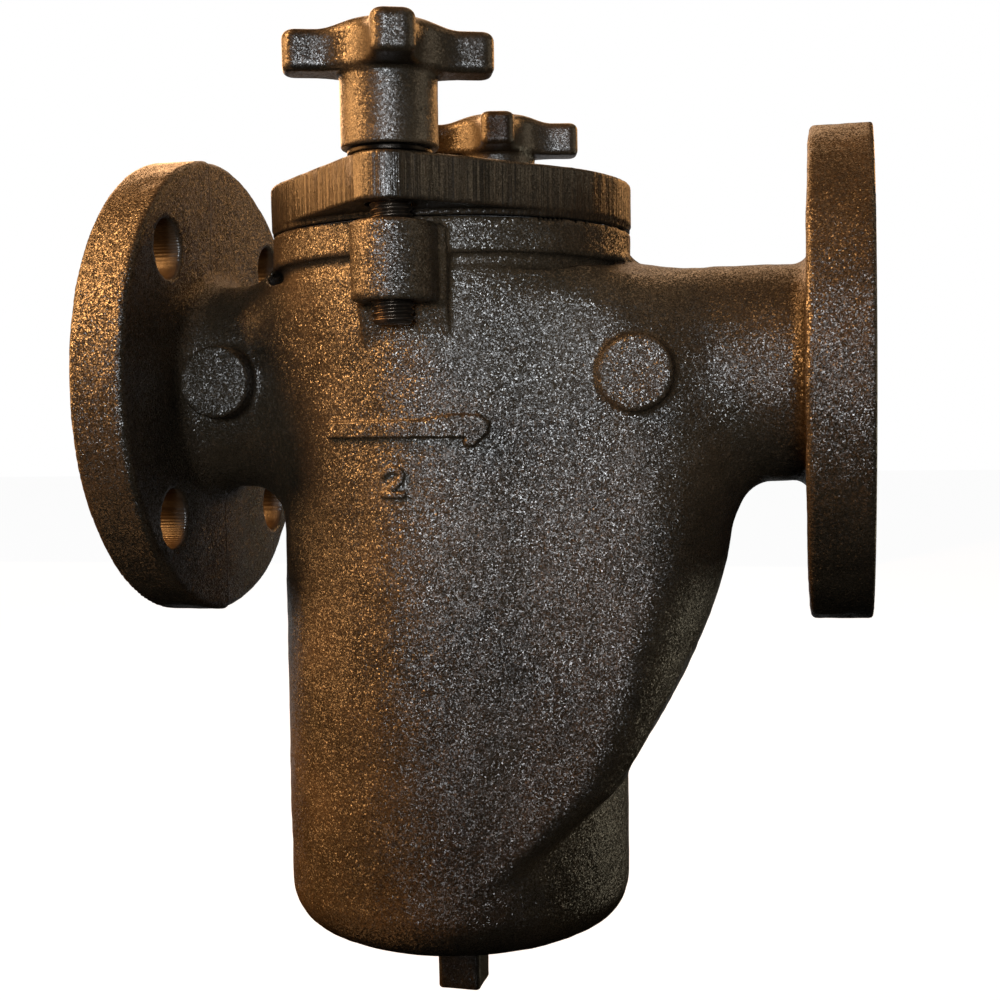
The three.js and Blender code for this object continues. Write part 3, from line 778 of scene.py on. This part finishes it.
def cover_field(x, y, z):
    """Flat lid with two ears, a round foot on the gasket and a spigot inside the pot."""
    rho = np.hypot(x, y)
    plan = capsule_field(np.abs(y), x, *COVER_PLAN)
    top = round_both(round_both(plan, z - COVER_TOP, 0.6), EAR_BOTTOM - z, 0.6)
    foot = round_both(rho - COVER_FOOT_R, COVER_BOTTOM - z, 0.4)
    foot = np.maximum(foot, z - EAR_BOTTOM - 3)
    spigot = round_both(rho - SPIGOT_R, COVER_LOW[2] - z, 0.8)
    spigot = np.maximum(spigot, z - EAR_BOTTOM - 1)
    cover = np.minimum(np.minimum(top, foot), spigot)
    return round_both(cover, EAR_HOLE_R - np.hypot(x, np.abs(y) - STUD_Y), 0.5)


def make_cover():
    points, quads = surface_points(cover_field, COVER_LOW, COVER_HIGH, COVER_CELL)
    points = np.clip(roughen(cover_field, points, COVER_UNEVEN), COVER_LOW, COVER_HIGH)
    replace_node("cover", "cover_casting", points, quads, IRON_COVER)


# ---------------- knobs

LOBE_BOTTOM = 85.3
LOBE_TOP = 97.1
LOBE_AT, LOBE_HALF_FLAT, LOBE_CORNER_R = 26.2, 2.4, 3.8
HOLLOW_AT, HOLLOW_R = 21.6, 15.4  # the scoops between the lobes
HUMP_R, HUMP_HEIGHT = 15.5, 3.0
HUB_R = 14.0
HUB_BOTTOM, HUB_TOP = 64.4, 92
KNOB_BORE_R, KNOB_BORE_TOP = 6.5, 81
KNOB_BOX = ((-30, -30, HUB_BOTTOM), (30, 30, 100.2))
KNOB_NOISE_STEP = 31.0  # gives each knob its own unevenness


def knob_field(x, y, z):
    """Four-lobed hand knob about the Z axis."""
    rho = np.hypot(x, y)
    u, v = np.maximum(np.abs(x), np.abs(y)), np.minimum(np.abs(x), np.abs(y))
    lobe = np.hypot(np.maximum(u - LOBE_AT, 0), np.maximum(v - LOBE_HALF_FLAT, 0)) - LOBE_CORNER_R
    hollow = HOLLOW_R - np.hypot(np.abs(x) - HOLLOW_AT, np.abs(y) - HOLLOW_AT)
    middle = np.maximum(rho - HOLLOW_AT, hollow)
    plan = np.minimum(lobe, middle)
    hump = LOBE_TOP + HUMP_HEIGHT * np.exp(-(rho / HUMP_R) ** 5)
    arms = round_both(round_both(plan, z - hump, 2.6), LOBE_BOTTOM - z, 2.0)
    hub = round_both(rho - HUB_R, HUB_BOTTOM - z, 0.7)
    hub = np.maximum(hub, z - HUB_TOP)
    knob = round_union(arms, hub, 1.6)
    bore = np.maximum(rho - KNOB_BORE_R, z - KNOB_BORE_TOP)
    return round_both(knob, -bore, 0.5)


def make_knob(node, turn_deg, seed):
    low, high = box_mm(node)
    centre_y = STUD_Y if node == "knob_rear" else -STUD_Y
    points, quads = surface_points(knob_field, *KNOB_BOX, KNOB_CELL)
    offset = np.array([seed * KNOB_NOISE_STEP, 0, 0])
    push = 0.1 * noise(points + offset, 9) + 0.03 * noise(points + offset, 3)
    points += push[:, None] * normals_of(knob_field, points)
    turn = math.radians(turn_deg)
    c, s = math.cos(turn), math.sin(turn)
    points = points @ np.array([[c, s, 0], [-s, c, 0], [0, 0, 1]])
    points = np.clip(shift(points, dy=centre_y), low, high)
    name = node.replace("knob", "hand_knob")
    replace_node(node, name, points, quads, IRON_SMOOTH)


# ---------------- screws, washers, gasket

STUD_PITCH, STUD_THREAD_DEPTH, STUD_CHAMFER = 1.954, 1.05, 1.1
WASHER_HOLE_R = 6.9
GASKET_HOLE_R = 49.0


def thread(radius, depth, pitch, bottom, top, chamfer, columns=48, per_turn=10):
    """Rod with a right-hand thread of about 60 degrees, closed at both ends."""
    rows = int(round((top - bottom) / pitch * per_turn)) + 1
    z = np.linspace(bottom, top, rows)[:, None]
    angle = (2 * np.pi * np.arange(columns) / columns)[None, :]
    phase = (z / pitch - angle / (2 * np.pi)) % 1.0
    wave = np.clip(np.abs(phase - 0.5) * 2.6 - 0.25, 0, 1)
    r = radius - depth * wave
    r = np.minimum(r, radius - chamfer + np.minimum(z - bottom, top - z))
    x, y = r * np.cos(angle), r * np.sin(angle)
    points = np.stack([x, y, np.broadcast_to(z, x.shape)], -1).reshape(-1, 3)
    faces = []
    for i in range(rows - 1):
        here, above = i * columns, (i + 1) * columns
        for j in range(columns):
            k = (j + 1) % columns
            faces.append((here + j, here + k, above + k, above + j))
    faces.append(tuple(range(columns))[::-1])
    faces.append(tuple((rows - 1) * columns + j for j in range(columns)))
    return points, faces


def make_stud(node):
    low, high = box_mm(node)
    points, faces = thread(STUD_R, STUD_THREAD_DEPTH, STUD_PITCH, low[2], high[2], STUD_CHAMFER)
    points = shift(points, dy=(low[1] + high[1]) / 2)
    name = node.replace("stud", "threaded_stud")
    replace_node(node, name, points, faces, STEEL)


def make_washer(node):
    low, high = box_mm(node)
    outer = (high[0] - low[0]) / 2 - 2.4
    points, faces = revolve(rounded_ring(WASHER_HOLE_R, outer, low[2], high[2], 0.4), 72)
    points = shift(points, dy=(low[1] + high[1]) / 2)
    name = node.replace("washer", "flat_washer")
    # The washer gets the darkened steel: painted shadow under the knob hub.
    replace_node(node, name, points, faces, WASHER_SHADOW_STEEL)


def make_gasket():
    low, high = box_mm("cover_gasket")
    outer = high[0] - 1.0
    points, faces = revolve(rounded_ring(GASKET_HOLE_R, outer, low[2], high[2], 0.35))
    radial = np.hypot(points[:, 0], points[:, 1])
    cut_edge = radial > 54
    points[:, :2] *= (1 - 0.12 * (1 + noise(points, 5)) / radial * cut_edge)[:, None]
    replace_node("cover_gasket", "cover_gasket_ring", points, faces, GASKET)


# ---------------- basket

BASKET_RIM_BOTTOM = SEAT_Z + 0.2
BASKET_RIM_TOP = BASKET_RIM_BOTTOM + 3.8
SCREEN_COLUMNS = 46
SCREEN_ROW_HEIGHT = 4.55
SCREEN_HOLE_R = 1.55
SCREEN_T = 1.1
CELL_OUTLINE = np.array([(-2, -2), (-1, -2), (0, -2), (1, -2), (2, -2), (2, 0), (2, 2), (1, 2),
                         (0, 2), (-1, 2), (-2, 2), (-2, 0)]) / 4
LINER_T = 0.6
BAND_INNER_R = 38.2


def make_screen():
    """Perforated cylinder, its top cut to the slant of the seat."""
    low, high = box_mm("basket_screen")
    radius = high[0]
    columns = SCREEN_COLUMNS
    width = 2 * np.pi * radius / columns
    height = SCREEN_ROW_HEIGHT * SCREEN_COLUMNS / columns
    rows = int((high[2] + 6 - low[2]) / height)
    hole_r = SCREEN_HOLE_R * SCREEN_COLUMNS / columns
    rim = CELL_OUTLINE * (width, height)
    around = np.arctan2(rim[:, 1], rim[:, 0])
    hole = np.stack([hole_r * np.cos(around), hole_r * np.sin(around)], 1)
    sides = len(rim)
    points, faces = [], []
    for row in range(rows):
        for column in range(columns):
            across = (column + 0.5 * (row % 2)) * width
            centre = np.array([across, low[2] + 1.2 + (row + 0.5) * height])
            start = len(points)
            points.extend(rim + centre)
            if row == 0:  # the lowest row has no holes
                faces.append(tuple(range(start, start + sides)))
                continue
            points.extend(hole + centre)
            for k in range(sides):
                m = (k + 1) % sides
                faces.append((start + k, start + m, start + sides + m, start + sides + k))
    flat = np.array(points)
    angle = flat[:, 0] / radius
    round_points = np.stack([radius * np.cos(angle), radius * np.sin(angle), flat[:, 1]], 1)
    thing = make_object("basket_perforated_screen", round_points, faces, SHEET)
    bm = bmesh.new()
    bm.from_mesh(thing.data)
    bmesh.ops.remove_doubles(bm, verts=bm.verts, dist=0.02 * MM)
    level = Vector((0, 0, BASKET_RIM_TOP - 0.4)) * MM
    everything = list(bm.verts) + list(bm.edges) + list(bm.faces)
    bmesh.ops.bisect_plane(bm, geom=everything, plane_co=level,
                           plane_no=Vector((-SEAT_SLOPE, 0, 1)), clear_outer=True)
    bmesh.ops.recalc_face_normals(bm, faces=bm.faces)
    centres = [f.calc_center_median() for f in bm.faces]
    if sum(f.normal.dot(Vector((c.x, c.y, 0))) for f, c in zip(bm.faces, centres)) < 0:
        bmesh.ops.reverse_faces(bm, faces=bm.faces)
    bm.to_mesh(thing.data)
    bm.free()
    wall = thing.modifiers.new("wall", "SOLIDIFY")
    wall.thickness = SCREEN_T * MM
    wall.offset = -1
    thing.data.polygons.foreach_set("use_smooth", np.full(len(thing.data.polygons), False))
    bake_modifiers(thing)
    stand_for(thing, "basket_screen")


def bake_modifiers(thing):
    """Puts the modifiers' result into the mesh."""
    depsgraph = bpy.context.evaluated_depsgraph_get()
    mesh = bpy.data.meshes.new_from_object(thing.evaluated_get(depsgraph))
    thing.modifiers.clear()
    thing.data = mesh


def make_liner():
    low, high = box_mm("basket_liner")
    outer = high[1]
    inner = outer - LINER_T
    top = BASKET_RIM_TOP - 0.5
    bottom = low[2]
    points, faces = revolve([(inner, bottom), (outer, bottom), (outer, top), (inner, top)])
    upper = points[:, 2] > top - 1
    points[upper, 2] += SEAT_SLOPE * points[upper, 0]
    replace_node("basket_liner", "basket_wire_liner", points, faces, MESH)


def make_rim():
    low, high = box_mm("basket_rim")
    outer = high[1]
    bottom, top, groove = BASKET_RIM_BOTTOM, BASKET_RIM_TOP, BASKET_RIM_BOTTOM + 3.3
    corners = [(38.3, bottom), (outer, bottom), (outer, top), (43.2, top), (41.8, groove),
               (40.6, top), (38.3, top)]
    points, faces = revolve(rounded_outline(corners, 0.7), slant=SEAT_SLOPE)
    points = np.clip(points, low, high)
    replace_node("basket_rim", "basket_rim_ring", points, faces, SHEET)


def make_bottom():
    low, high = box_mm("basket_bottom")
    outer = high[1]
    z0, z1 = low[2], high[2]
    profile = [(0.01, z0), (outer - 6, z0), (outer - 5, z0 + 0.3), (outer - 0.3, z0 + 0.3),
               (outer, z0 + 0.6), (outer, z1), (outer - 4.6, z1), (outer - 5.6, z1 - 0.35),
               (0.01, z1 - 0.35)]
    points, faces = revolve(profile)
    replace_node("basket_bottom", "basket_bottom_disc", points, faces, SHEET)


def make_band():
    low, high = box_mm("basket_bottom_band")
    points, faces = revolve(rounded_ring(BAND_INNER_R, high[1], low[2], high[2], 0.4))
    replace_node("basket_bottom_band", "basket_foot_band", points, faces, SHEET)


BAIL_Z = 12.0  # height of the pins the bail turns on
BAIL_HALF_SPAN, BAIL_DROP = 31.8, 28.0
BAIL_WIRE_R = 1.9
EYE_R, EYE_INNER_Y, EYE_OUTER_Y = 4.5, 30.2, 33.3
PIN_HOLE_R = 2.6
EAR_TAB_R = 5.0
RIVET_HEAD_R, RIVET_SHANK_R = 3.6, 2.3


def bail_field(x, y, z):
    """Wire loop hanging from two flattened eyes."""
    h = z - BAIL_Z
    a, b = BAIL_HALF_SPAN, BAIL_DROP
    k = np.hypot(y / a, h / b)
    k2 = np.hypot(y / (a * a), h / (b * b))
    ring = k * (k - 1) / np.maximum(k2, 1e-6)  # near distance to an ellipse
    wire = np.hypot(ring, x) - BAIL_WIRE_R
    wire = np.maximum(wire, h)
    across = np.abs(y)
    eye = round_both(np.hypot(x, h) - EYE_R, EYE_INNER_Y - across, 0.6)
    eye = round_both(eye, across - EYE_OUTER_Y, 0.6)
    loop = round_union(wire, eye, 1.2)
    return round_both(loop, PIN_HOLE_R - np.hypot(x, h), 0.3)


def make_bail():
    low, high = box_mm("basket_bail")
    points, quads = surface_points(bail_field, low, high, BAIL_CELL)
    points = np.clip(points, low, high)
    replace_node("basket_bail", "basket_wire_bail", points, quads, SHEET)


def make_ear(node):
    low, high = box_mm(node)

    def ear_field(x, y, z):
        plate = np.hypot(x, np.maximum(z - BAIL_Z, 0)) - EAR_TAB_R
        plate = round_both(plate, low[2] - z, 1.0)
        plate = round_both(round_both(plate, y - high[1], 0.3), low[1] - y, 0.3)
        return round_both(plate, PIN_HOLE_R - np.hypot(x, z - BAIL_Z), 0.2)

    points, quads = surface_points(ear_field, low, high, EAR_CELL)
    points = np.clip(points, low, high)
    name = node.replace("bail_ear", "bail_ear_tab")
    replace_node(node, name, points, quads, SHEET)


def make_rivet(node):
    low, high = box_mm(node)
    side = 1 if high[1] > 0 else -1
    inner, outer = (low[1], high[1]) if side > 0 else (-high[1], -low[1])
    head, shank = RIVET_HEAD_R, RIVET_SHANK_R
    profile = [(0.01, inner), (1.6, inner + 0.08), (2.7, inner + 0.35), (head, inner + 0.85),
               (head, inner + 1.2), (shank, inner + 1.2), (shank, outer - 1.2),
               (head, outer - 1.2), (head, outer - 0.85), (2.7, outer - 0.35),
               (1.6, outer - 0.08), (0.01, outer)]
    points, faces = revolve(profile, 40)
    points = np.stack([points[:, 0], side * points[:, 2], points[:, 1] * side], 1)
    points = shift(points, dz=BAIL_Z)
    name = node.replace("bail_rivet", "bail_rivet_pin")
    replace_node(node, name, points, faces, SHEET)


# ---------------- drain plug

PLUG_R, PLUG_PITCH, PLUG_THREAD_DEPTH = 10.15, 1.814, 0.8
PLUG_SHANK_BOTTOM, PLUG_SHANK_TOP = -188.0, -171.0
PLUG_HEAD_FLAT, PLUG_HEAD_CORNER_R = 5.6, 1.6


def plug_field(x, y, z):
    """Threaded shank with a square head under it."""
    turn = np.arctan2(y, x) / (2 * np.pi)
    phase = (z / PLUG_PITCH - turn) % 1.0
    wave = np.abs(phase - 0.5) * 2
    radius = PLUG_R - PLUG_THREAD_DEPTH * np.clip(wave * 1.3 - 0.2, 0, 1)
    shank = round_both(np.hypot(x, y) - radius, PLUG_SHANK_BOTTOM - z, 0.6)
    shank = round_both(shank, z - PLUG_SHANK_TOP, 0.8)
    u, v = np.abs(x) - PLUG_HEAD_FLAT, np.abs(y) - PLUG_HEAD_FLAT
    square = np.hypot(np.maximum(u, 0), np.maximum(v, 0)) + np.minimum(np.maximum(u, v), 0)
    square = np.maximum(square - PLUG_HEAD_CORNER_R, z - PLUG_SHANK_BOTTOM - 2)
    head = round_both(square, PLUG_FOOT - z, 1.3)
    return round_union(head, shank, 0.8)


def make_plug():
    low, high = box_mm("drain_plug")
    points, quads = surface_points(plug_field, low, high, PLUG_CELL)
    push = 0.12 * noise(points, 4) * (points[:, 2] < PLUG_SHANK_BOTTOM)
    points += push[:, None] * normals_of(plug_field, points)
    points = np.clip(points, low, high)
    name = "drain_plug_square_head"
    replace_node("drain_plug", name, points, quads, IRON_SMOOTH)


make_body()
make_cover()
make_knob("knob_front", 19.7, 1)
make_knob("knob_rear", 13.3, 2)
for which in ("front", "rear"):
    make_stud("stud_" + which)
    make_washer("washer_" + which)
    make_ear("bail_ear_" + which)
    make_rivet("bail_rivet_" + which)
make_gasket()
make_screen()
make_liner()
make_rim()
make_bottom()
make_band()
make_bail()
make_plug()

# ---------------- stage, light and camera

FLOOR_HALF = 6000
BACKDROP_X, BACKDROP_Y, BACKDROP_Z = (-2500, 150), 1800, (-700, 1500)
LIGHT_DISTANCE = 1.3  # this and the two aims are metres
LIGHT_AIM = (0.01, 0, -0.04)
SPOT_AIM = (0.015, 0, 0.02)
CAMERA_AT = (125.34, -480.17, -13.80)
CAMERA_TURNS = (-12.952, -2.954, -0.847)  # yaw, pitch and roll in degrees
CAMERA_LENS = 53.594


def stage_material(name, colour, glow):
    """Matt surface that mostly glows by itself, so that it stays plain and pale."""
    n = Nodes(name)
    shade = n.colours(n.noise(0.8, 2.0, 0.5), (0.3, tuple(0.96 * c for c in colour)), (0.7, colour))
    return n.finish(Base_Color=shade, Roughness=0.9, Emission_Color=(1, 1, 1, 1),
                    Emission_Strength=glow)


def make_floor():
    half, z = FLOOR_HALF, FLOOR_Z - 0.4
    points = [(-half, -half, z), (half, -half, z), (half, half, z), (-half, half, z)]
    pale = stage_material("pale_floor", (0.12, 0.12, 0.12), 0.97)
    floor = make_object("floor", points, [(0, 1, 2, 3)], pale)
    floor.visible_glossy = False
    floor.visible_diffuse = False


def make_backdrop():
    """Bright sheet behind the strainer, seen only as a sheen along its edges."""
    (left, right), (low, high) = BACKDROP_X, BACKDROP_Z
    corners = ((left, low), (right, low), (right, high), (left, high))
    points = [(x, BACKDROP_Y, z) for x, z in corners]
    glow = stage_material("backdrop_glow", (0.12, 0.11, 0.1), 0.35)
    sheet = make_object("backdrop", points, [(0, 1, 2, 3)], glow)
    sheet.visible_camera = False
    sheet.visible_diffuse = False


def place_light(data, aim, toward):
    """Lamp LIGHT_DISTANCE away from `aim` in the direction `toward`, facing it."""
    aim = Vector(aim)
    light = bpy.data.objects.new(data.name, data)
    light.location = aim + Vector(toward).normalized() * LIGHT_DISTANCE
    light.rotation_euler = (aim - light.location).to_track_quat("-Z", "Y").to_euler()
    bpy.context.scene.collection.objects.link(light)


def area_light(name, toward, size, power, colour):
    """Square softbox facing the strainer."""
    data = bpy.data.lights.new(name, "AREA")
    data.shape = "RECTANGLE"
    data.size = data.size_y = size
    data.energy = power
    data.color = colour
    place_light(data, LIGHT_AIM, toward)


# Name, direction, size in metres, power in watts and colour. The warm lamps stand to the left.
LIGHTS = [
    ("warm_left", (-1.0, -0.05, 0.2), 0.6, 11, (1.0, 0.48, 0.16)),
    ("warm_key", (-0.7, -0.42, 0.58), 0.4, 36, (1.0, 0.47, 0.15)),
    ("warm_above", (-0.56, -0.12, 0.82), 0.45, 7, (1.0, 0.48, 0.17)),
    ("warm_side", (-0.88, -0.4, 0.3), 0.35, 8, (1.0, 0.5, 0.18)),
    ("warm_back", (-0.55, 0.65, 0.4), 0.6, 9, (1.0, 0.52, 0.22)),
    ("warm_behind", (0.42, 0.85, 0.38), 0.4, 3.2, (1.0, 0.5, 0.18)),
    ("warm_over", (-0.1, 0.75, 0.65), 0.6, 2.5, (1.0, 0.55, 0.24)),
    ("warm_top", (0.5, 0.12, 0.85), 0.6, 2, (1.0, 0.6, 0.3)),
    ("warm_right", (1.0, 0.15, 0.25), 0.6, 2.2, (1.0, 0.8, 0.55)),
    ("fill_right", (0.82, 0.57, -0.17), 0.6, 2.4, (1.0, 0.88, 0.62)),
    ("warm_low", (-0.6, -0.3, -0.75), 0.6, 2, (1.0, 0.5, 0.2)),
]


def cool_spot():
    """Soft cool lamp beside the camera, aimed at the upper half so that it fades to the foot."""
    data = bpy.data.lights.new("cool_front", "SPOT")
    data.energy = 80
    data.color = (0.92, 0.96, 1.0)
    data.shadow_soft_size = 0.12
    data.spot_size = math.radians(17.5)
    data.spot_blend = 1.0
    place_light(data, SPOT_AIM, (0.15, -1.0, 0.04))


def make_lights():
    """Softboxes, spot and a white world that only the camera sees."""
    world = bpy.data.worlds.new("studio")
    world.use_nodes = True
    world.node_tree.nodes["Background"].inputs["Color"].default_value = (1, 1, 1, 1)
    world.node_tree.nodes["Background"].inputs["Strength"].default_value = 1.0
    world.cycles_visibility.diffuse = False
    world.cycles_visibility.glossy = False
    bpy.context.scene.world = world
    for light in LIGHTS:
        area_light(*light)
    cool_spot()


def make_camera():
    data = bpy.data.cameras.new("view")
    data.sensor_width = 36.0
    data.lens = CAMERA_LENS
    data.clip_start, data.clip_end = 0.01, 50
    camera = bpy.data.objects.new("view", data)
    yaw, pitch, roll = (math.radians(a) for a in CAMERA_TURNS)
    level = math.cos(pitch)
    forward = Vector((math.sin(yaw) * level, math.cos(yaw) * level, math.sin(pitch)))
    right = Vector((math.cos(yaw), -math.sin(yaw), 0))
    up = right.cross(forward)
    right_rolled = right * math.cos(roll) + up * math.sin(roll)
    up_rolled = up * math.cos(roll) - right * math.sin(roll)
    turn = Matrix((right_rolled, up_rolled, -forward)).transposed()
    camera.matrix_world = Matrix.Translation(Vector(CAMERA_AT) * MM) @ turn.to_4x4()
    bpy.context.scene.collection.objects.link(camera)
    bpy.context.scene.camera = camera


make_floor()
make_backdrop()
make_lights()
make_camera()
bpy.context.scene.view_settings.view_transform = "Standard"
